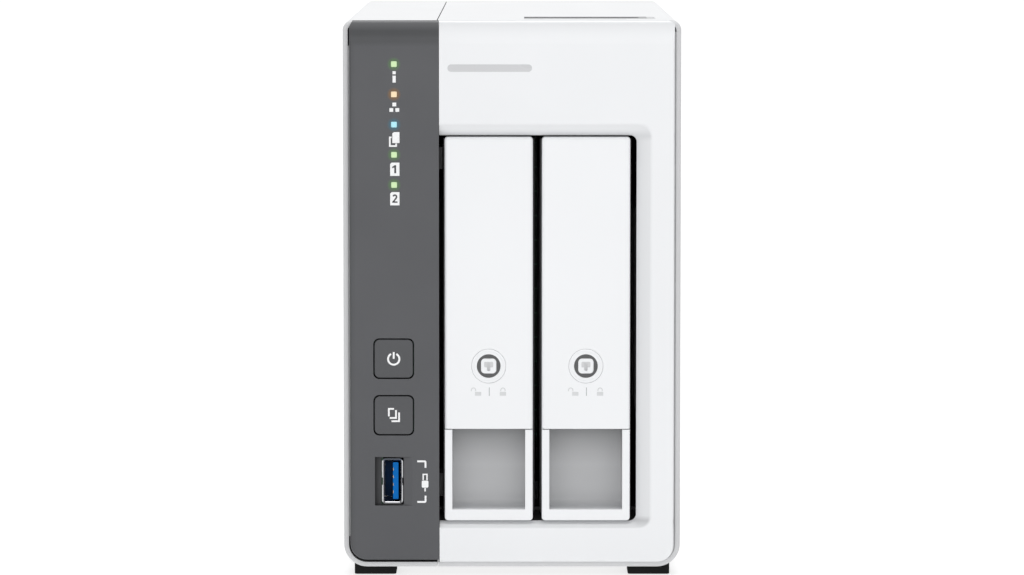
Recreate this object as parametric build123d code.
from build123d import *
import math
import os

# Two-bay network attached storage. Millimetres. The front faces -Y, the rear +Y and up is +Z.
# The origin is on the ground, in the middle of the box that the whole object fits in.

# Overall size
WIDTH = 102.0
DEPTH = 225.0
HEIGHT = 168.5
FRONT = -DEPTH / 2
REAR = DEPTH / 2

# Case shells
WALL = 1.5
FOOT_HEIGHT = 2.6
CASE_BOTTOM_RADIUS = 7.0
CASE_TOP_RADIUS = 3.0
RIM_ROUND = 1.1
SHELL_FRONT = FRONT + 2.4
SEAM_X = -22.55
SEAM_GAP = 0.3
INNER_X = WIDTH / 2 - WALL
INNER_BOTTOM = FOOT_HEIGHT + WALL
INNER_TOP = HEIGHT - WALL

# Front: bezel, control panel and the bay opening between them
FACE_HALF = WIDTH / 2 - 2.0
FACE_BOTTOM = 5.1
BEZEL_BOTTOM = 4.4
FACE_RADIUS = 5.0
PANEL_EDGE_X = -21.95
SOFT_EDGE_DROP = 7.0
SOFT_EDGE_BACK = 1.0
SOFT_EDGE_ROUND = 1.2
BAY_RIGHT = 37.6
BAY_BOTTOM = 16.85
BAY_TOP = 133.9
BAY_RADIUS = 2.0
BEVEL_RIGHT = 4.8
BEVEL_BOTTOM = 2.3
BEVEL_TOP = 3.8
BEVEL_RADIUS = 3.6
BEVEL_DEPTH = 2.2

# Trays
TRAY_PITCH = 29.4
TRAY_CENTRES = (-7.05, -7.05 + TRAY_PITCH)
TRAY_HALF = 13.33
TRAY_BOTTOM = 17.05
TRAY_TOP = 133.45
TRAY_FRONT = FRONT + 0.6
TRAY_FACE_DEPTH = 12.0
SLED_HALF = 13.85
SLED_LENGTH = 149.0
FLAP_BOTTOM = 44.95
POCKET_HALF = 11.05
POCKET_BOTTOM = 20.4
POCKET_TOP = 56.0
FLAP_THICKNESS = 2.4
HINGE_BACK = 2.6
HINGE_Z = TRAY_TOP - 4.4
PIN_RADIUS = 0.8
LOCK_Z = 64.1
LOCK_HOLE = 5.2
LOCK_DISC = 5.15

# Hard disk, the standard 3.5-inch size
DISK_HEIGHT = 101.6
DISK_LENGTH = 147.0
DISK_BOTTOM = (TRAY_BOTTOM + TRAY_TOP) / 2 - DISK_HEIGHT / 2

# Drive cage and backplane
CAGE_LEFT = -22.8
CAGE_RIGHT = 38.2
CAGE_WALL = 1.5
CAGE_FLOOR = 16.2
CAGE_CEILING = 135.4
CAGE_REAR = 51.6
CAGE_LIP = -79.5
TAB_HEIGHTS = ((22.6, 29.5), (122.8, 129.6))
BACKPLANE_FRONT = CAGE_REAR
BACKPLANE_THICKNESS = 1.6
SATA_DEPTH = 2.6

# Control panel features
BUTTON_X = -35.75
BUTTON_SIZE = 11.65
BUTTON_HOLE = 12.35
BUTTON_HEIGHTS = {"power_button": 66.4, "copy_button": 49.2}
LIGHT_X = -35.53
LIGHT_SIZE = 1.8
LIGHT_TOP = 155.4
LIGHT_STEP = 9.1
LIGHT_HEIGHTS = tuple(LIGHT_TOP - LIGHT_STEP * i for i in range(5))
USB_X = -36.2
USB_Z = 29.1
USB_WIDTH = 13.1
USB_HEIGHT = 5.8
USB_LIP_WIDTH = 13.8
USB_LIP_HEIGHT = 6.35
USB_LIP_LENGTH = 0.7
USB_GAP = 0.5
USB_LIP_CHAMFER = 0.3
TONGUE_SIDE = 0.12
TONGUE_THICKNESS = 1.65
SCOOP_LEFT = -41.5
SCOOP_RIGHT = -30.2
SCOOP_DEPTH = 2.0
SCOOP_HALF = 7.4
IO_BOARD_FRONT = FRONT + 11.0

# Main board, which stands upright behind the control panel, and the rear ports
BOARD_X = -40.7
BOARD_THICKNESS = 1.6
BOARD_FACE_X = BOARD_X + BOARD_THICKNESS
PANEL_REAR_FACE = REAR - 1.0
PANEL_REAR_FRONT = REAR - 3.0
REAR_USB_HEIGHTS = (128.0, 108.0)
LAN_HEIGHTS = (84.5, 64.5)
LAN_WIDTH = 16.0
LAN_HEIGHT = 13.4
LAN_LENGTH = 21.3
DC_Z = 42.0
RESET_Z = 24.0
LOCK_SLOT_Z = 149.0

# Fan
FAN_X = 10.5
FAN_Z = 78.0
FAN_SIZE = 70.0
FAN_DEPTH = 25.0
FAN_HOLE_SPACING = 61.5
FAN_BORE = 33.0
FAN_TIP = 31.6
FAN_REAR = PANEL_REAR_FRONT
FAN_FRONT = FAN_REAR - FAN_DEPTH
FAN_LEAD_Z = 55.0

# Feet
FOOT_WIDTH = 12.7
FOOT_LENGTH = 12.7
FOOT_OUTER_X = 47.9
FOOT_SET_BACK = 5.4


# Helpers ------------------------------------------------------------------------------------


def block(x0, x1, y0, y1, z0, z1):
    """A box between two opposite corners."""
    centre = Pos((x0 + x1) / 2, (y0 + y1) / 2, (z0 + z1) / 2)
    return centre * Box(x1 - x0, y1 - y0, z1 - z0)


def rod_x(y, z, x0, x1, radius):
    """A round bar along X."""
    return Pos((x0 + x1) / 2, y, z) * Rot(0, 90, 0) * Cylinder(radius, x1 - x0)


def rod_y(x, z, y0, y1, radius):
    """A round bar along Y."""
    return Pos(x, (y0 + y1) / 2, z) * Rot(90, 0, 0) * Cylinder(radius, y1 - y0)


def rod_z(x, y, z0, z1, radius):
    """A round bar along Z."""
    return Pos(x, y, (z0 + z1) / 2) * Cylinder(radius, z1 - z0)


def round_along(solid, axis, radius, pick=lambda centre: True):
    """Rounds the straight edges along an axis whose centres pass the test."""
    edges = [edge for edge in solid.edges().filter_by(axis) if pick(edge.center())]
    return fillet(edges, radius)


def pad(x0, x1, y0, y1, z0, z1, radius, axis=Axis.Y):
    """A box with its four edges along one axis rounded."""
    return round_along(block(x0, x1, y0, y1, z0, z1), axis, radius)


def centred_pad(x, z, width, height, y0, y1, radius):
    """A rounded plate that faces along Y, given by its centre and its size."""
    return pad(x - width / 2, x + width / 2, y0, y1, z - height / 2, z + height / 2, radius)


def together(solids):
    """Joins a list of solids into one shape."""
    result = solids[0]
    for solid in solids[1:]:
        result = result + solid
    return result


def soften(solid, radius, pick):
    """Rounds every edge whose centre passes the test."""
    return fillet([edge for edge in solid.edges() if pick(edge.center())], radius)


def save(shape, node):
    """Writes one node of the assembly."""
    shape.label = node
    export_step(shape, f"parts/{node}.step")


def tray_name(node, index):
    return f"{node}_{index + 1}"


# Case ---------------------------------------------------------------------------------------


def case_profile(inset, y0, y1):
    """The case's solid outline, pulled in by an inset, over a stretch of its depth."""
    half = WIDTH / 2 - inset
    solid = block(-half, half, y0, y1, FOOT_HEIGHT + inset, HEIGHT - inset)
    middle = HEIGHT / 2
    solid = round_along(solid, Axis.Y, CASE_BOTTOM_RADIUS - inset, lambda c: c.Z < middle)
    return round_along(solid, Axis.Y, CASE_TOP_RADIUS - inset, lambda c: c.Z > middle)


def case_ring():
    """The four walls of the case, with the rim rounded off outwards at the front."""
    outer = case_profile(0, SHELL_FRONT, REAR)
    outer = soften(outer, RIM_ROUND, lambda c: c.Y < SHELL_FRONT + 0.01)
    outer = soften(outer, 0.5, lambda c: c.Y > REAR - 0.01)
    return outer - case_profile(WALL, SHELL_FRONT - 1, REAR + 1)


def shell_boss(side, y, z, reach, radius=3.2):
    """A post from the side wall towards the middle."""
    x_wall = side * (INNER_X + 0.1)
    x_end = side * (INNER_X - reach)
    return rod_x(y, z, min(x_wall, x_end), max(x_wall, x_end), radius)


def rear_boss(side, z):
    """A block in a rear corner that a rear panel screw bites into."""
    x0, x1 = sorted((side * (INNER_X + 0.1), side * (INNER_X - 7.5)))
    return block(x0, x1, PANEL_REAR_FRONT - 12, PANEL_REAR_FRONT, z - 3.6, z + 3.6)


def rim_ledge(side, top):
    """The step inside the rim that closes the gap beside the front."""
    x0, x1 = sorted((side * (INNER_X + 0.1), side * (FACE_HALF + 0.05)))
    return block(x0, x1, SHELL_FRONT + 0.6, SHELL_FRONT + 4.0, 12.0, top)


REAR_SCREWS = tuple((side, z) for side in (-1, 1) for z in (13.0, 160.0))
REAR_SCREW_X = INNER_X - 4.0
BOARD_POSTS = ((-70.0, 22.0), (-70.0, 142.0), (85.0, 22.0), (85.0, 144.0))
SIDE_POSTS = ((-70.0, 30.0), (-70.0, 120.0), (30.0, 30.0), (30.0, 120.0))


def corner_ledge():
    """The same step carried round the lower right corner."""
    ring = case_profile(WALL - 0.1, SHELL_FRONT + 0.6, SHELL_FRONT + 4.0)
    ring = ring - front_outline(SHELL_FRONT, SHELL_FRONT + 5, -0.05, BEZEL_BOTTOM)
    return ring & block(FACE_HALF - FACE_RADIUS, WIDTH, SHELL_FRONT, SHELL_FRONT + 5, 0, 12.1)


def floor_vents():
    """Slots through the floor of the case, for the air that the fan draws."""
    slots = []
    for step in range(9):
        x = -10 + 5 * step
        slots.append(pad(x - 1.2, x + 1.2, -60, -22, 0, 8, 1.1, Axis.Z))
        slots.append(pad(x - 1.2, x + 1.2, -14, 24, 0, 8, 1.1, Axis.Z))
    return together(slots)


def left_shell():
    shell = case_ring() & block(-WIDTH, SEAM_X - SEAM_GAP / 2, FRONT - 1, REAR + 1, 0, HEIGHT + 1)
    tongue = [
        block(SEAM_X - 4, SEAM_X + 3, SHELL_FRONT + 6.5, REAR - 6, z, z + 0.8)
        for z in (INNER_TOP - 0.8, INNER_BOTTOM)
    ]
    lap = [
        block(SEAM_X - 4, SEAM_X - 1, SHELL_FRONT + 6.5, REAR - 6, z, z + 0.9)
        for z in (INNER_TOP - 0.8, INNER_BOTTOM - 0.1)
    ]
    posts = [shell_boss(-1, y, z, BOARD_X + INNER_X) for y, z in BOARD_POSTS]
    corners = [rear_boss(-1, z) for side, z in REAR_SCREWS if side < 0]
    shell = together([shell, rim_ledge(-1, 160.8)] + tongue + lap + posts + corners)
    for side, z in REAR_SCREWS:
        shell = shell - rod_y(side * REAR_SCREW_X, z, PANEL_REAR_FRONT - 9, REAR, 1.2)
    return shell


def right_shell():
    shell = case_ring() & block(SEAM_X + SEAM_GAP / 2, WIDTH, FRONT - 1, REAR + 1, 0, HEIGHT + 1)
    reach = INNER_X - CAGE_RIGHT - CAGE_WALL
    posts = [shell_boss(1, y, z, reach) for y, z in SIDE_POSTS]
    corners = [rear_boss(1, z) for side, z in REAR_SCREWS if side > 0]
    shell = together([shell, rim_ledge(1, 165.0), corner_ledge()] + posts + corners)
    for side, z in REAR_SCREWS:
        shell = shell - rod_y(side * REAR_SCREW_X, z, PANEL_REAR_FRONT - 9, REAR, 1.2)
    return shell - floor_vents()


def foot(side_x, side_y):
    """A rubber block whose top follows the case's rounded corner."""
    x0, x1 = sorted((side_x * FOOT_OUTER_X, side_x * (FOOT_OUTER_X - FOOT_WIDTH)))
    end = DEPTH / 2 - FOOT_SET_BACK
    y0, y1 = sorted((side_y * end, side_y * (end - FOOT_LENGTH)))
    body = pad(x0, x1, y0, y1, 0, 6, 1.0, Axis.Z)
    body = soften(body, 0.25, lambda c: c.Z < 0.01)
    return body - case_profile(0, FRONT, REAR)


# Front --------------------------------------------------------------------------------------


def soft_edge_cutter():
    """What lies in front of the top of the front, which leans back gently and then rounds off."""
    start = (FRONT, HEIGHT - SOFT_EDGE_DROP)
    corner = (FRONT + SOFT_EDGE_BACK, HEIGHT)
    lean = TangentArc(start, corner, tangent=(0, 1))
    outside = Polyline(
        corner,
        (FRONT + 6, HEIGHT),
        (FRONT + 6, HEIGHT + 2),
        (FRONT - 2, HEIGHT + 2),
        (FRONT - 2, HEIGHT - SOFT_EDGE_DROP),
        start,
    )
    cutter = extrude(make_face(Plane.YZ * (lean + outside)), amount=WIDTH, both=True)
    return soften(
        cutter, SOFT_EDGE_ROUND, lambda c: abs(c.Y - corner[0]) < 0.01 and abs(c.Z - HEIGHT) < 0.01
    )


def front_outline(y0, y1, inset=0.0, bottom=FACE_BOTTOM):
    """The outline that the bezel and the control panel fill together."""
    half = FACE_HALF - inset
    solid = block(-half, half, y0, y1, bottom + inset, HEIGHT - inset)
    solid = round_along(solid, Axis.Y, FACE_RADIUS - inset, lambda c: c.Z < 20)
    edges = [edge for edge in solid.edges().filter_by(Axis.Y) if edge.center().Z > 20]
    return chamfer(edges, 1.9, 1.0)


def front_plate(bottom=FACE_BOTTOM):
    """The two front parts as one plate, with its outer edge rounded off."""
    plate = front_outline(FRONT, SHELL_FRONT, bottom=bottom)
    plate = soften(plate, 0.6, lambda c: c.Y < FRONT + 0.01 and c.Z < HEIGHT - 2.5)
    return plate - soft_edge_cutter()


def flange():
    """The skirt behind the front, which slips into the case."""
    outer = front_outline(SHELL_FRONT, SHELL_FRONT + 6, 0.9)
    outer = outer & block(-WIDTH, WIDTH, FRONT, REAR, 0, INNER_TOP - 0.1)
    inner = front_outline(SHELL_FRONT - 1, SHELL_FRONT + 7, 2.3)
    inner = inner & block(-WIDTH, WIDTH, FRONT, REAR, 0, INNER_TOP - 1.6)
    return outer - inner


def bay_section(y, right, bottom, top, radius):
    """A rounded rectangle across the bay at a depth, carried on past the panel's edge."""
    left = PANEL_EDGE_X - 14
    middle = Plane(((left + right) / 2, y, (bottom + top) / 2), x_dir=(1, 0, 0), z_dir=(0, -1, 0))
    return middle * RectangleRounded(right - left, top - bottom, radius)


def bay_cutter():
    """The bay opening with the soft bevel round it, steeper towards the opening."""
    sections = []
    for depth, inward in ((0.0, 0.0), (0.35 * BEVEL_DEPTH, 0.55), (BEVEL_DEPTH, 1.0)):
        outward = 1.0 - inward
        sections.append(
            bay_section(
                FRONT + depth,
                BAY_RIGHT + BEVEL_RIGHT * outward,
                BAY_BOTTOM - BEVEL_BOTTOM * outward,
                BAY_TOP + BEVEL_TOP * outward,
                BAY_RADIUS + (BEVEL_RADIUS - BAY_RADIUS) * outward,
            )
        )
    opening = bay_section(FRONT + BEVEL_DEPTH, BAY_RIGHT, BAY_BOTTOM, BAY_TOP, BAY_RADIUS)
    return loft(sections, ruled=False) + extrude(opening, amount=-20)


def front_bezel():
    side = block(PANEL_EDGE_X, WIDTH, FRONT - 1, REAR, 0, HEIGHT + 1)
    skirt = flange() & block(PANEL_EDGE_X + 1, WIDTH, FRONT - 1, REAR, 0, HEIGHT + 1)
    return (front_plate(BEZEL_BOTTOM) & side) - bay_cutter() + skirt


def scoop_cutter():
    """The slanting recess round the front socket, deepest at its left."""
    outline = Polyline(
        (SCOOP_LEFT, FRONT - 0.5),
        (SCOOP_LEFT, FRONT + SCOOP_DEPTH),
        (SCOOP_RIGHT, FRONT),
        (SCOOP_RIGHT, FRONT - 0.5),
        close=True,
    )
    face = make_face(Plane.XY.offset(USB_Z - SCOOP_HALF) * outline)
    return extrude(face, amount=2 * SCOOP_HALF)


def control_panel():
    side = block(-WIDTH, PANEL_EDGE_X - 0.1, FRONT - 1, REAR, 0, HEIGHT + 1)
    skirt = flange() & block(-WIDTH, PANEL_EDGE_X - 1, FRONT - 1, REAR, 0, HEIGHT + 1)
    panel = front_plate() & side
    for z in BUTTON_HEIGHTS.values():
        collar = BUTTON_HOLE + 2.4
        panel = panel + centred_pad(BUTTON_X, z, collar, collar, SHELL_FRONT, SHELL_FRONT + 3, 2.7)
    for x in (-44.5, -28.5):
        for z in (80.0, 158.0):
            panel = panel + rod_y(x, z, SHELL_FRONT - 0.1, IO_BOARD_FRONT, 2.0)
    panel = panel + skirt
    for z in BUTTON_HEIGHTS.values():
        panel = panel - centred_pad(BUTTON_X, z, BUTTON_HOLE, BUTTON_HOLE, FRONT - 1, FRONT + 8, 1.8)
    for z in LIGHT_HEIGHTS:
        panel = panel - centred_pad(LIGHT_X, z, LIGHT_SIZE, LIGHT_SIZE, FRONT - 1, FRONT + 4, 0.3)
    panel = panel - scoop_cutter()
    hole_width, hole_height = USB_LIP_HEIGHT + USB_GAP, USB_LIP_WIDTH + USB_GAP
    return panel - centred_pad(USB_X, USB_Z, hole_width, hole_height, FRONT - 1, FRONT + 8, 0.3)


def button(z):
    """A square cap with a stem behind it that reaches towards its switch."""
    cap = centred_pad(BUTTON_X, z, BUTTON_SIZE, BUTTON_SIZE, FRONT + 0.05, FRONT + 4.0, 1.6)
    cap = soften(cap, 0.25, lambda c: c.Y < FRONT + 0.06)
    return cap + rod_y(BUTTON_X, z, FRONT + 3.9, FRONT + 8.0, 2.0)


def light_guides():
    """Five square windows on one clear bar behind the panel."""
    size = LIGHT_SIZE
    windows = [centred_pad(LIGHT_X, z, size, size, FRONT + 0.1, FRONT + 9.8, 0.3) for z in LIGHT_HEIGHTS]
    low, high = LIGHT_HEIGHTS[-1] - 3, LIGHT_HEIGHTS[0] + 3
    bar = block(LIGHT_X - 2, LIGHT_X + 2, FRONT + 4.5, FRONT + 6.5, low, high)
    return together([bar] + windows)


def front_io_board():
    """The board behind the control panel that carries the lights and the switches."""
    return block(-47.0, -25.5, IO_BOARD_FRONT, IO_BOARD_FRONT + 1.6, 42.0, 161.0)


def tact_switches():
    """A switch behind each button and a light source behind each window."""
    solids = []
    for z in BUTTON_HEIGHTS.values():
        body = centred_pad(BUTTON_X, z, 6, 6, IO_BOARD_FRONT - 1.6, IO_BOARD_FRONT, 0.4)
        solids.append(body + rod_y(BUTTON_X, z, FRONT + 8.95, FRONT + 9.5, 1.7))
    for z in LIGHT_HEIGHTS:
        solids.append(centred_pad(LIGHT_X, z, 1.6, 1.6, IO_BOARD_FRONT - 1, IO_BOARD_FRONT, 0.1))
    return Compound(children=solids)


# Sockets ------------------------------------------------------------------------------------


def usb_shell(z, y_mouth, y_back):
    """A folded steel socket shell on its side, with a flared lip and a dent in each wide side."""
    inward = math.copysign(1, y_back - y_mouth)
    y0, y1 = sorted((y_mouth, y_back))
    lip0, lip1 = sorted((y_mouth, y_mouth + inward * USB_LIP_LENGTH))
    outer = centred_pad(USB_X, z, USB_HEIGHT, USB_WIDTH, y0, y1, 0.9)
    outer = outer + centred_pad(USB_X, z, USB_LIP_HEIGHT, USB_LIP_WIDTH, lip0, lip1, 1.1)
    cavity0, cavity1 = sorted((y_mouth - inward, y_back - inward * 0.4))
    shell = outer - centred_pad(USB_X, z, USB_HEIGHT - 0.6, USB_WIDTH - 0.6, cavity0, cavity1, 0.6)
    half_width, half_height = USB_HEIGHT / 2, USB_WIDTH / 2
    mouth = [
        edge for edge in shell.edges()
        if abs(edge.center().Y - y_mouth) < 0.01
        and abs(edge.center().X - USB_X) < half_width - 0.2
        and abs(edge.center().Z - z) < half_height - 0.2
    ]
    shell = chamfer(mouth, USB_LIP_CHAMFER)
    notch0, notch1 = sorted((y_mouth - inward, y_mouth + inward * 2.5))
    for side in (-1, 1):
        edge = USB_X + side * USB_LIP_HEIGHT / 2
        notch = block(edge - 0.3, edge + 0.3, notch0, notch1, z - 1.1, z + 1.1)
        shell = shell - notch
    return shell


def usb_tongue(z, y_mouth, y_back):
    """The plastic tongue, on the side away from the board, with its four contacts' grooves."""
    y_tip = y_mouth + math.copysign(1.2, y_back - y_mouth)
    y_root = y_back - math.copysign(0.4, y_back - y_mouth)
    y0, y1 = sorted((y_tip, y_root))
    side_x = USB_X + TONGUE_SIDE
    tongue = pad(side_x, side_x + TONGUE_THICKNESS, y0, y1, z - 5.6, z + 5.6, 0.3)
    for step in range(4):
        contact_z = z + (step - 1.5) * 2.3
        groove = block(side_x - 0.1, side_x + 0.15, y0 - 1, y1 - 2, contact_z - 0.5, contact_z + 0.5)
        tongue = tongue - groove
    plug_y = sorted((y_root, y_root - math.copysign(1.5, y_back - y_mouth)))
    back = pad(USB_X - 2.55, USB_X + 2.55, plug_y[0], plug_y[1], z - 6.15, z + 6.15, 0.6)
    return tongue + back


FRONT_USB_MOUTH = FRONT + 0.35
FRONT_USB_BACK = FRONT + 15.0
REAR_USB_MOUTH = PANEL_REAR_FACE
REAR_USB_BACK = PANEL_REAR_FACE - 14.0
LAN_X = BOARD_FACE_X + LAN_HEIGHT / 2
LAN_MOUTH_WIDTH = 11.9
LAN_MOUTH_HEIGHT = 7.6
LAN_MOUTH_DEPTH = 12.0


def lan_jack_shell(z):
    """A steel can round one network jack."""
    y0, y1 = PANEL_REAR_FACE - LAN_LENGTH, PANEL_REAR_FACE
    z0, z1 = z - LAN_WIDTH / 2, z + LAN_WIDTH / 2
    x1 = BOARD_FACE_X + LAN_HEIGHT
    outer = block(BOARD_FACE_X, x1, y0, y1, z0, z1)
    inner = block(BOARD_FACE_X - 1, x1 - 0.4, y0 + 0.4, y1 - 0.4, z0 + 0.4, z1 - 0.4)
    mouth = block(LAN_X - 4.9, LAN_X + 4.6, y1 - 1, y1 + 1, z - 6.4, z + 6.4)
    return outer - inner - mouth


def lan_jack_insert(z):
    """The moulded inside of a jack: a mouth with a latch notch towards the board, and eight contacts."""
    y1 = PANEL_REAR_FACE - 0.4
    y0 = y1 - LAN_LENGTH + 0.8
    x1 = BOARD_FACE_X + LAN_HEIGHT - 0.4
    body_half = LAN_WIDTH / 2 - 0.4
    body = block(BOARD_FACE_X, x1, y0, y1, z - body_half, z + body_half)
    half = LAN_MOUTH_WIDTH / 2
    mouth_x = LAN_X - 3.3
    mouth = block(mouth_x, mouth_x + LAN_MOUTH_HEIGHT, y1 - LAN_MOUTH_DEPTH, y1 + 1, z - half, z + half)
    notch = block(LAN_X - 4.7, LAN_X - 3.2, y1 - 8, y1 + 1, z - 3.2, z + 3.2)
    body = body - mouth - notch
    for step in range(8):
        contact_z = z + (step - 3.5) * 1.02
        y_end = y1 - LAN_MOUTH_DEPTH - 0.1
        body = body + block(LAN_X + 2.9, LAN_X + 4.3, y_end, y1 - 3.5, contact_z - 0.25, contact_z + 0.25)
    return body


def dc_inlet():
    """The barrel socket for the outside power supply, with its centre pin."""
    x = BOARD_FACE_X + 5.5
    y1 = PANEL_REAR_FACE
    body = block(BOARD_FACE_X, BOARD_FACE_X + 11, y1 - 14, y1, DC_Z - 4.5, DC_Z + 4.5)
    body = body - rod_y(x, DC_Z, y1 - 9.5, y1 + 1, 3.15)
    return body + rod_y(x, DC_Z, y1 - 9.6, y1 - 0.8, 1.05)


# Inside -------------------------------------------------------------------------------------


def cage_side(x0, x1, y0):
    """One upright wall of the cage, with windows for the air."""
    wall = block(x0, x1, y0, CAGE_REAR, CAGE_FLOOR, CAGE_CEILING)
    for y in (-70.0, -45.0, -20.0, 5.0, 30.0):
        wall = wall - pad(x0 - 1, x1 + 1, y - 8, y + 8, 45, 110, 3.0, Axis.X)
    return wall


def drive_cage():
    """The tunnel round both trays, as its welded plates: walls, guide tabs, ribs and posts."""
    left, right = CAGE_LEFT - CAGE_WALL, CAGE_RIGHT + CAGE_WALL
    underside, top = CAGE_FLOOR - CAGE_WALL, CAGE_CEILING + CAGE_WALL
    floor = block(left, right, SHELL_FRONT, CAGE_REAR, underside, CAGE_FLOOR)
    lip = block(CAGE_LEFT, CAGE_RIGHT, CAGE_LIP, CAGE_LIP + 2.4, CAGE_FLOOR - 0.5, CAGE_FLOOR + 1.0)
    lip = round_along(lip, Axis.X, 0.6, lambda c: c.Z > CAGE_FLOOR)
    solids = [
        floor + lip,
        block(left, right, SHELL_FRONT, CAGE_REAR, CAGE_CEILING, top),
        cage_side(left, CAGE_LEFT, SHELL_FRONT + 12),
        cage_side(CAGE_RIGHT, right, SHELL_FRONT),
    ]
    for z0, z1 in TAB_HEIGHTS:
        solids.append(block(CAGE_LEFT, -21.2, SHELL_FRONT + 14, SHELL_FRONT + 30, z0, z1))
    divider_x = sum(TRAY_CENTRES) / 2
    for z0, z1 in ((CAGE_FLOOR, 22.0), (130.0, CAGE_CEILING)):
        solids.append(block(divider_x - 0.45, divider_x + 0.45, -55.0, CAGE_REAR, z0, z1))
    for x in (-14.0, 33.0):
        for y in (-80.0, 30.0):
            solids.append(rod_z(x, y, INNER_BOTTOM, underside, 3.0))
            solids.append(rod_z(x, y, top, INNER_TOP, 3.0))
    return Compound(children=solids)


def backplane_board():
    """The board behind the disks. Its left edge plugs into the main board."""
    y0, y1 = BACKPLANE_FRONT, BACKPLANE_FRONT + BACKPLANE_THICKNESS
    board = block(CAGE_LEFT - CAGE_WALL, CAGE_RIGHT + CAGE_WALL, y0, y1, 20.0, 132.0)
    board = board + block(-36.0, CAGE_LEFT, y0, y1, 64.0, 106.0)
    for centre in TRAY_CENTRES:
        board = board - pad(centre - 5.0, centre + 11.0, y0 - 1, y1 + 1, 28.0, 122.0, 2.0)
    return board


def sata_sockets():
    """One upright drive socket for each bay, with its L-shaped slot."""
    solids = []
    for centre in TRAY_CENTRES:
        x0, x1 = centre - 11.4, centre - 5.6
        z0 = DISK_BOTTOM + 8
        body = block(x0, x1, BACKPLANE_FRONT - SATA_DEPTH, BACKPLANE_FRONT, z0, z0 + 43)
        slot = block(x0 + 2.2, x0 + 3.6, BACKPLANE_FRONT - 4, BACKPLANE_FRONT - 1, z0 + 2, z0 + 41)
        solids.append(body - slot)
    return Compound(children=solids)


def main_board():
    """The upright board along the left side, with a tab at the front for the socket."""
    x0, x1 = BOARD_X, BOARD_FACE_X
    board = block(x0, x1, FRONT + 16, 108.0, 12.0, 152.0)
    return board + block(x0, x1, FRONT + 3.5, FRONT + 17, 16.0, 40.0)


PROCESSOR_Y = 10.0
PROCESSOR_Z = 84.0


def board_chips():
    """The packages on the main board, and the slot that the backplane plugs into."""
    x = BOARD_FACE_X
    places = (
        (PROCESSOR_Y, PROCESSOR_Z, 17.0, 17.0, 2.0),
        (PROCESSOR_Y - 30, PROCESSOR_Z + 12, 11.0, 13.0, 1.1),
        (PROCESSOR_Y - 30, PROCESSOR_Z - 12, 11.0, 13.0, 1.1),
        (PROCESSOR_Y - 46, PROCESSOR_Z, 12.0, 16.0, 1.2),
        (78.0, 74.0, 12.0, 12.0, 1.4),
        (78.0, 96.0, 9.0, 9.0, 1.2),
        (74.0, 42.0, 10.0, 14.0, 6.0),
        (-60.0, 60.0, 8.0, 8.0, 1.2),
        (100.5, RESET_Z, 6.0, 6.0, 6.0),
    )
    solids = [block(x, x + t, y - w / 2, y + w / 2, z - h / 2, z + h / 2) for y, z, w, h, t in places]
    for step in range(3):
        solids.append(rod_x(62.0 - 12 * step, 28.0, x, x + 9.0, 4.0))
    socket = block(x, -34.0, BACKPLANE_FRONT - 3, BACKPLANE_FRONT + 4.6, 61.0, 109.0)
    edge_slot = block(-36.0, -33.0, BACKPLANE_FRONT, BACKPLANE_FRONT + BACKPLANE_THICKNESS, 64.0, 106.0)
    solids.append(socket - edge_slot)
    return Compound(children=solids)


def processor_heat_sink():
    """A finned block on the processor."""
    x0 = BOARD_FACE_X + 2.0
    base = block(x0, x0 + 2.0, PROCESSOR_Y - 17, PROCESSOR_Y + 17, PROCESSOR_Z - 17, PROCESSOR_Z + 17)
    fins = [
        block(x0 + 1.9, x0 + 9.0, PROCESSOR_Y - 17, PROCESSOR_Y + 17, z - 0.6, z + 0.6)
        for z in [PROCESSOR_Z - 16.4 + 4.1 * step for step in range(9)]
    ]
    return together([base] + fins)


def clock_battery():
    """A coin cell in its low holder."""
    holder = pad(BOARD_FACE_X, BOARD_FACE_X + 2.2, -45, -22, 24, 47, 3.0, Axis.X)
    cell = rod_x(-33.5, 35.5, BOARD_FACE_X + 2.2, BOARD_FACE_X + 5.2, 10.0)
    return holder + cell


# Fan ----------------------------------------------------------------------------------------


def fan_holes():
    """The centres of the fan's four screw holes."""
    reach = FAN_HOLE_SPACING / 2
    return [(FAN_X + x * reach, FAN_Z + z * reach) for x in (-1, 1) for z in (-1, 1)]


def fan_frame():
    """A square frame with a round bore, screw holes and four struts to the motor cup."""
    half = FAN_SIZE / 2
    frame = pad(FAN_X - half, FAN_X + half, FAN_FRONT, FAN_REAR, FAN_Z - half, FAN_Z + half, 4.0)
    frame = frame - rod_y(FAN_X, FAN_Z, FAN_FRONT - 1, FAN_REAR + 1, FAN_BORE)
    for hole_x, hole_z in fan_holes():
        frame = frame - rod_y(hole_x, hole_z, FAN_FRONT - 1, FAN_REAR + 1, 2.0)
    centre = Pos(FAN_X, 0, FAN_Z)
    for angle in (45, 135, 225, 315):
        strut = block(13, FAN_BORE + 1, FAN_REAR - 3.5, FAN_REAR, -1.3, 1.3)
        frame = frame + centre * Rot(0, angle, 0) * strut
    cup = rod_y(FAN_X, FAN_Z, FAN_REAR - 4, FAN_REAR, 15.0)
    return frame + cup - rod_y(FAN_X, FAN_Z, FAN_REAR - 5, FAN_REAR - 1, 1.55)


def fan_blade():
    """One pitched, gently curved blade, drawn from the hub outwards along X."""
    root = Plane((13.0, 0, 0), x_dir=(0, 1, 0), z_dir=(1, 0, 0))
    tip = Plane((FAN_TIP - 0.4, 0, 0), x_dir=(0, 1, 0), z_dir=(1, 0, 0))
    sections = [root * Rot(0, 0, 48) * Rectangle(17.0, 1.6), tip * Rot(0, 0, 28) * Rectangle(20.0, 1.2)]
    return loft(sections, ruled=True)


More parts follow.
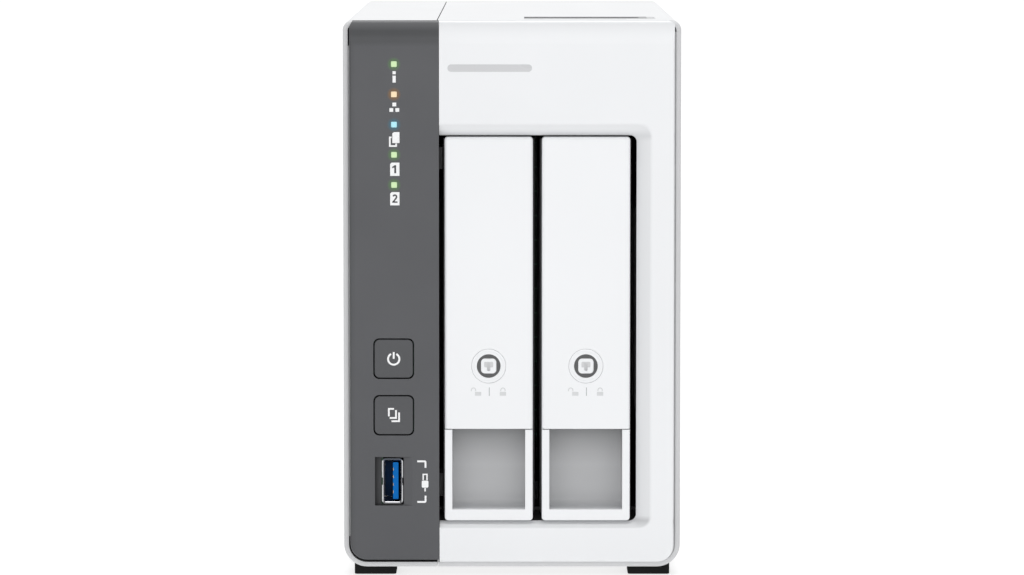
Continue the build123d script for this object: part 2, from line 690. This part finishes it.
def fan_rotor():
    """The hub, its seven blades and the shaft that turns in the motor cup."""
    middle_y = (FAN_FRONT + FAN_REAR - 5) / 2
    hub = rod_y(0, 0, FAN_FRONT + 1.5, FAN_REAR - 5, 14.0)
    hub = soften(hub, 1.5, lambda c: c.Y < FAN_FRONT + 1.6)
    blades = [Pos(0, middle_y, 0) * Rot(0, 360 / 7 * step, 0) * fan_blade() for step in range(7)]
    rotor = together([hub] + blades)
    ring = rod_y(0, 0, FAN_FRONT + 1.5, FAN_REAR - 4.6, FAN_TIP)
    rotor = rotor & ring
    rotor = rotor + rod_y(0, 0, FAN_REAR - 6, FAN_REAR - 2, 1.5)
    return Pos(FAN_X, 0, FAN_Z) * rotor


def drive_cross(x, z, reach, half, y0):
    """The cross cut into a screw's head, for the driver."""
    level = block(x - reach, x + reach, y0, REAR, z - half, z + half)
    return level + block(x - half, x + half, y0, REAR, z - reach, z + reach)


def fan_screws():
    """Four screws from behind, through the rear panel into the fan frame."""
    solids = []
    for hole_x, hole_z in fan_holes():
        shank = rod_y(hole_x, hole_z, FAN_REAR - 10, PANEL_REAR_FACE, 2.0)
        head = rod_y(hole_x, hole_z, PANEL_REAR_FACE - 0.5, PANEL_REAR_FACE + 0.9, 3.6)
        solids.append(shank + head - drive_cross(hole_x, hole_z, 2.0, 0.4, PANEL_REAR_FACE + 0.3))
    return Compound(children=solids)


def rear_screws():
    """Four screws that hold the rear panel to the two shells."""
    solids = []
    for side, z in REAR_SCREWS:
        x = side * REAR_SCREW_X
        shank = rod_y(x, z, PANEL_REAR_FRONT - 8, PANEL_REAR_FACE, 1.2)
        head = rod_y(x, z, PANEL_REAR_FACE, PANEL_REAR_FACE + 0.9, 2.6)
        solids.append(shank + head - drive_cross(x, z, 1.6, 0.35, PANEL_REAR_FACE + 0.4))
    return Compound(children=solids)


def fan_lead():
    """The fan's short lead, from the front of its frame across to the main board."""
    bend_y = FAN_FRONT - 15.0
    route = FilletPolyline(
        (-20.0, FAN_FRONT, FAN_LEAD_Z),
        (-20.0, bend_y, FAN_LEAD_Z),
        (BOARD_FACE_X, bend_y, FAN_LEAD_Z),
        radius=[6.4],
    )
    start = Plane(route @ 0, z_dir=route % 0)
    return sweep(start * Circle(0.9), route)


# Rear ---------------------------------------------------------------------------------------


def fan_grille():
    """Ring-shaped slots in front of the fan, crossed by spokes."""
    slots = None
    for step in range(5):
        outer = 32.0 - 4.4 * step
        ring = rod_y(FAN_X, FAN_Z, PANEL_REAR_FRONT - 1, REAR, outer)
        ring = ring - rod_y(FAN_X, FAN_Z, PANEL_REAR_FRONT - 2, REAR + 1, outer - 3.0)
        slots = ring if slots is None else slots + ring
    centre = Pos(FAN_X, 0, FAN_Z)
    for angle in range(0, 180, 45):
        spoke = block(-40, 40, PANEL_REAR_FRONT - 2, REAR + 1, -1.1, 1.1)
        slots = slots - centre * Rot(0, angle + 22.5, 0) * spoke
    return slots


def rear_panel():
    """The plate that closes the case behind, cut out for the fan and the ports."""
    panel = case_profile(WALL + 0.1, PANEL_REAR_FRONT, PANEL_REAR_FACE)
    panel = panel - fan_grille()
    for z in REAR_USB_HEIGHTS:
        panel = panel - centred_pad(USB_X, z, USB_LIP_HEIGHT + 0.3, USB_LIP_WIDTH + 0.3, 0, REAR, 1.2)
    y0, y1 = PANEL_REAR_FRONT - 1, REAR
    for z in LAN_HEIGHTS:
        half = LAN_WIDTH / 2 + 0.1
        jack_x = BOARD_FACE_X + LAN_HEIGHT
        panel = panel - block(BOARD_FACE_X - 0.1, jack_x + 0.1, y0, y1, z - half, z + half)
    panel = panel - block(BOARD_FACE_X - 0.1, BOARD_FACE_X + 11.1, y0, y1, DC_Z - 4.6, DC_Z + 4.6)
    panel = panel - rod_y(BOARD_FACE_X + 3.5, RESET_Z, y0, y1, 1.4)
    panel = panel - centred_pad(-30.0, LOCK_SLOT_Z, 7.0, 3.0, y0, y1, 0.8)
    for side, z in REAR_SCREWS:
        panel = panel - rod_y(side * REAR_SCREW_X, z, y0, y1, 1.2)
    for hole_x, hole_z in fan_holes():
        panel = panel - rod_y(hole_x, hole_z, y0, y1, 2.0)
        panel = panel - rod_y(hole_x, hole_z, PANEL_REAR_FACE - 0.5, y1, 3.6)
    return panel


def reset_button():
    """A small recessed plunger at the rear."""
    x = BOARD_FACE_X + 3.5
    return rod_y(x, RESET_Z, 106.0, PANEL_REAR_FACE - 0.8, 1.2) + rod_y(x, RESET_Z, 104.5, 106.5, 1.9)


# Trays --------------------------------------------------------------------------------------


def tray_front(x):
    """The moulding behind the flap, with the finger pocket below it."""
    y = TRAY_FRONT
    frame_top = FLAP_BOTTOM - 0.25
    front = block(x - TRAY_HALF, x + TRAY_HALF, y, y + TRAY_FACE_DEPTH, TRAY_BOTTOM, frame_top)
    front = round_along(front, Axis.Y, 1.0, lambda c: c.Z < TRAY_BOTTOM + 1)
    front = soften(front, 0.4, lambda c: c.Y < y + 0.01 and c.Z < frame_top - 0.5)
    upper = block(x - TRAY_HALF, x + TRAY_HALF, y + 2.8, y + TRAY_FACE_DEPTH, frame_top - 1, TRAY_TOP - 0.3)
    upper = round_along(upper, Axis.Y, 1.0, lambda c: c.Z > 100)
    front = front + upper
    front = front - block(x - 11.5, x + 11.5, y - 1, y + 6.5, POCKET_TOP - 0.5, TRAY_TOP + 1)
    front = front - block(x - 11.5, x + 11.5, y + 8.5, y + 20, POCKET_TOP + 1.6, TRAY_TOP - 2.0)
    front = front - block(x - 20, x + 20, y - 1, y + 6.5, 125.5, TRAY_TOP + 1)
    pocket = block(x - POCKET_HALF, x + POCKET_HALF, y - 1, y + 10.6, POCKET_BOTTOM, POCKET_TOP)
    pocket = soften(pocket, 2.0, lambda c: c.Y > y + 10.5 and c.Z < POCKET_BOTTOM + 0.1)
    front = front - pocket
    front = front - block(x - POCKET_HALF, x + POCKET_HALF, y - 1, y + 6.5, POCKET_TOP - 1, POCKET_TOP + 4)
    for side in (-1, 1):
        x0, x1 = sorted((x + side * 8.2, x + side * 11.2))
        arm = block(x0, x1, y + HINGE_BACK, y + 7.0, HINGE_Z - 1.6, HINGE_Z + 1.6)
        front = front + arm + rod_x(y + HINGE_BACK, HINGE_Z, x0, x1, 1.6)
    return front - rod_x(y + HINGE_BACK, HINGE_Z, x - 12, x + 12, PIN_RADIUS)


def hinge_pin(x):
    return rod_x(TRAY_FRONT + HINGE_BACK, HINGE_Z, x - 11.2, x + 11.2, PIN_RADIUS)


def handle_flap(x):
    """The hinged face of the tray, with its knuckle, lock hole and finger lip."""
    y = TRAY_FRONT
    plate = block(x - TRAY_HALF, x + TRAY_HALF, y, y + FLAP_THICKNESS, FLAP_BOTTOM, TRAY_TOP)
    plate = round_along(plate, Axis.Y, 1.0, lambda c: c.Z > 100)
    plate = soften(plate, 1.0, lambda c: c.Y < y + 0.01 and c.Z > TRAY_TOP - 1.01)
    plate = soften(plate, 0.35, lambda c: c.Y < y + 0.01 and c.Z < TRAY_TOP - 2)
    plate = plate - rod_y(x, LOCK_Z, y - 1, y + 4, LOCK_HOLE)
    near = LOCK_HOLE + 1
    plate = soften(plate, 0.12, lambda c: c.Y < y + 0.01 and math.hypot(c.X - x, c.Z - LOCK_Z) < near)
    for side in (-1, 1):
        x0, x1 = sorted((x + side * 7.9, x + side * 11.5))
        plate = plate - block(x0, x1, y + 0.8, y + 3, HINGE_Z - 2.6, HINGE_Z + 2.3)
    knuckle = rod_x(y + HINGE_BACK, HINGE_Z, x - 7.8, x + 7.8, 1.75)
    web = block(x - 7.8, x + 7.8, y + 1.0, y + HINGE_BACK, HINGE_Z - 1.75, HINGE_Z + 1.75)
    lip = block(x - 10.3, x + 10.3, y + 1.0, y + 4.4, FLAP_BOTTOM, FLAP_BOTTOM + 1.6)
    flap = plate + knuckle + web + lip
    return flap - rod_x(y + HINGE_BACK, HINGE_Z, x - 8, x + 8, PIN_RADIUS + 0.05)


def lock_escutcheon(x):
    """The plain disc round the lock, with a fine groove in its face."""
    y = TRAY_FRONT
    disc = rod_y(x, LOCK_Z, y - 0.05, y + FLAP_THICKNESS, LOCK_DISC)
    disc = soften(disc, 0.15, lambda c: c.Y < y)
    groove = rod_y(x, LOCK_Z, y - 1, y + 0.03, 4.5) - rod_y(x, LOCK_Z, y - 2, y + 1, 4.38)
    return disc - groove - rod_y(x, LOCK_Z, y - 1, y + 4, 3.6)


def lock_barrel(x):
    """The dark ring that turns with the key."""
    y = TRAY_FRONT
    ring = rod_y(x, LOCK_Z, y + 0.15, y + 3.6, 3.55)
    return ring - centred_pad(x, LOCK_Z, 4.7, 4.6, y - 1, y + 2.6, 1.2)


def lock_core(x):
    """The square face with the keyway, a shallow bowl that narrows to a slot below."""
    y = TRAY_FRONT
    core = centred_pad(x, LOCK_Z, 4.7, 4.6, y + 0.05, y + 2.6, 1.2)
    core = soften(core, 0.25, lambda c: c.Y < y + 0.06)
    bowl = centred_pad(x, LOCK_Z + 0.45, 2.7, 1.7, y - 1, y + 0.3, 0.35)
    slot = centred_pad(x, LOCK_Z - 0.3, 1.0, 2.4, y - 1, y + 0.7, 0.4)
    return core - bowl - slot


def lock_cam(x):
    """The short arm behind the flap that turns with the lock."""
    y = TRAY_FRONT
    arm = pad(x - 2.2, x + 2.2, y + 3.6, y + 4.9, LOCK_Z - 2.2, LOCK_Z + 8.0, 1.0)
    return arm


def tray_sled(x):
    """The dark open frame that carries the disk: two rails joined by a side plate."""
    y0 = TRAY_FRONT + TRAY_FACE_DEPTH
    y1 = y0 + SLED_LENGTH
    left, right = x - SLED_HALF, x + SLED_HALF
    bottom = block(left, right, y0, y1, 18.0, 22.3)
    bottom = bottom - block(left + 3, right - 3, y0 + 6, y1 + 1, 19.6, 23.0)
    top = block(left, right, y0, y1, 128.6, 132.4)
    top = top - block(left + 3, right - 3, y0 + 6, y1 + 1, 127.0, 130.8)
    side = block(left, left + 1.1, y0, y1, 18.0, 132.4)
    for step in range(4):
        window_y = y0 + 24 + 34 * step
        side = side - pad(left - 1, left + 2, window_y - 12, window_y + 12, 36, 114, 4.0, Axis.X)
    nose = block(left, right, y0, y0 + 1.2, 18.0, 30.0) + block(left, right, y0, y0 + 1.2, 120.0, 132.4)
    nose = nose + block(right - 1.0, right, y0, y0 + 1.2, 29.0, 121.0)
    return together([side, bottom, top, nose])


CLIP_PIN_PLACES = (30.0, 105.0)


def disk_front():
    return TRAY_FRONT + TRAY_FACE_DEPTH + 1.5


def clip_strips(x):
    """Two strips whose pins reach into the disk's side holes, so that it needs no screws."""
    y0 = disk_front()
    solids = []
    for rail_z, disk_z in ((22.3, DISK_BOTTOM), (128.6, DISK_BOTTOM + DISK_HEIGHT)):
        z0, z1 = sorted((rail_z, disk_z))
        strip = block(x - 6, x + 6, y0 + 8, y0 + 128, z0, z1)
        inward = math.copysign(2.0, disk_z - rail_z)
        for place in CLIP_PIN_PLACES:
            pin0, pin1 = sorted((disk_z - inward / 4, disk_z + inward))
            strip = strip + rod_z(x, y0 + place, pin0, pin1, 1.3)
        solids.append(strip)
    return Compound(children=solids)


def disk_base(x):
    """The disk's cast body, with the chamber for its platters and the holes for the strips' pins."""
    y0 = disk_front()
    z0, z1 = DISK_BOTTOM, DISK_BOTTOM + DISK_HEIGHT
    base = pad(x - 11.3, x + 12.9, y0, y0 + DISK_LENGTH, z0, z1, 2.5, Axis.X)
    for z in (z0, z1):
        for place in CLIP_PIN_PLACES:
            base = base - rod_z(x, y0 + place, z - 3, z + 3, 1.3)
    chamber = pad(x + 0.9, x + 14, y0 + 7, y0 + DISK_LENGTH - 12, z0 + 6, z1 - 6, 12.0, Axis.X)
    return base - chamber


def disk_lid(x):
    """The thin stamped lid, with its raised middle."""
    y0 = disk_front()
    z0, z1 = DISK_BOTTOM, DISK_BOTTOM + DISK_HEIGHT
    sheet = pad(x + 12.9, x + 13.3, y0 + 1.5, y0 + DISK_LENGTH - 6, z0 + 1.5, z1 - 1.5, 3.0, Axis.X)
    boss = pad(x + 13.2, x + 13.65, y0 + 10, y0 + 108, z0 + 9, z1 - 9, 14.0, Axis.X)
    return sheet + boss


def disk_board(x):
    """The disk's own circuit board and the connector at its rear edge."""
    y0 = disk_front()
    board = block(x - 12.4, x - 11.3, y0 + 50, y0 + DISK_LENGTH - 1, DISK_BOTTOM + 4, DISK_BOTTOM + 96)
    notch = block(x - 13, x - 11, y0 + 49, y0 + 84, DISK_BOTTOM + 60, DISK_BOTTOM + 97)
    return board - notch


# Assembly -----------------------------------------------------------------------------------


def build():
    os.makedirs("parts", exist_ok=True)
    save(left_shell(), "left_shell")
    save(right_shell(), "right_shell")
    for side_y, end in ((-1, "front"), (1, "rear")):
        for side_x, hand in ((-1, "left"), (1, "right")):
            save(foot(side_x, side_y), f"foot_{end}_{hand}")
    save(front_bezel(), "front_bezel")
    save(control_panel(), "control_panel")
    for node, z in BUTTON_HEIGHTS.items():
        save(button(z), node)
    save(light_guides(), "light_guides")
    save(front_io_board(), "front_io_board")
    save(tact_switches(), "tact_switches")
    save(usb_shell(USB_Z, FRONT_USB_MOUTH, FRONT_USB_BACK), "front_usb_shell")
    save(usb_tongue(USB_Z, FRONT_USB_MOUTH, FRONT_USB_BACK), "front_usb_tongue")
    rear_shells = [usb_shell(z, REAR_USB_MOUTH, REAR_USB_BACK) for z in REAR_USB_HEIGHTS]
    rear_tongues = [usb_tongue(z, REAR_USB_MOUTH, REAR_USB_BACK) for z in REAR_USB_HEIGHTS]
    save(Compound(children=rear_shells), "rear_usb_shells")
    save(Compound(children=rear_tongues), "rear_usb_tongues")
    save(Compound(children=[lan_jack_shell(z) for z in LAN_HEIGHTS]), "lan_jack_shells")
    save(Compound(children=[lan_jack_insert(z) for z in LAN_HEIGHTS]), "lan_jack_inserts")
    save(dc_inlet(), "dc_inlet")
    save(drive_cage(), "drive_cage")
    save(backplane_board(), "backplane_board")
    save(sata_sockets(), "sata_sockets")
    save(main_board(), "main_board")
    save(board_chips(), "board_chips")
    save(processor_heat_sink(), "processor_heat_sink")
    save(clock_battery(), "clock_battery")
    save(fan_frame(), "fan_frame")
    save(fan_rotor(), "fan_rotor")
    save(fan_screws(), "fan_screws")
    save(fan_lead(), "fan_lead")
    save(rear_panel(), "rear_panel")
    save(rear_screws(), "rear_screws")
    save(reset_button(), "reset_button")
    for index, centre in enumerate(TRAY_CENTRES):
        save(tray_front(centre), tray_name("tray_front", index))
        save(tray_sled(centre), tray_name("tray_sled", index))
        save(hinge_pin(centre), tray_name("hinge_pin", index))
        save(handle_flap(centre), tray_name("handle_flap", index))
        save(lock_escutcheon(centre), tray_name("lock_escutcheon", index))
        save(lock_barrel(centre), tray_name("lock_barrel", index))
        save(lock_core(centre), tray_name("lock_core", index))
        save(lock_cam(centre), tray_name("lock_cam", index))
        save(clip_strips(centre), tray_name("clip_strips", index))
        save(disk_base(centre), tray_name("disk_base", index))
        save(disk_lid(centre), tray_name("disk_lid", index))
        save(disk_board(centre), tray_name("disk_board", index))


build()
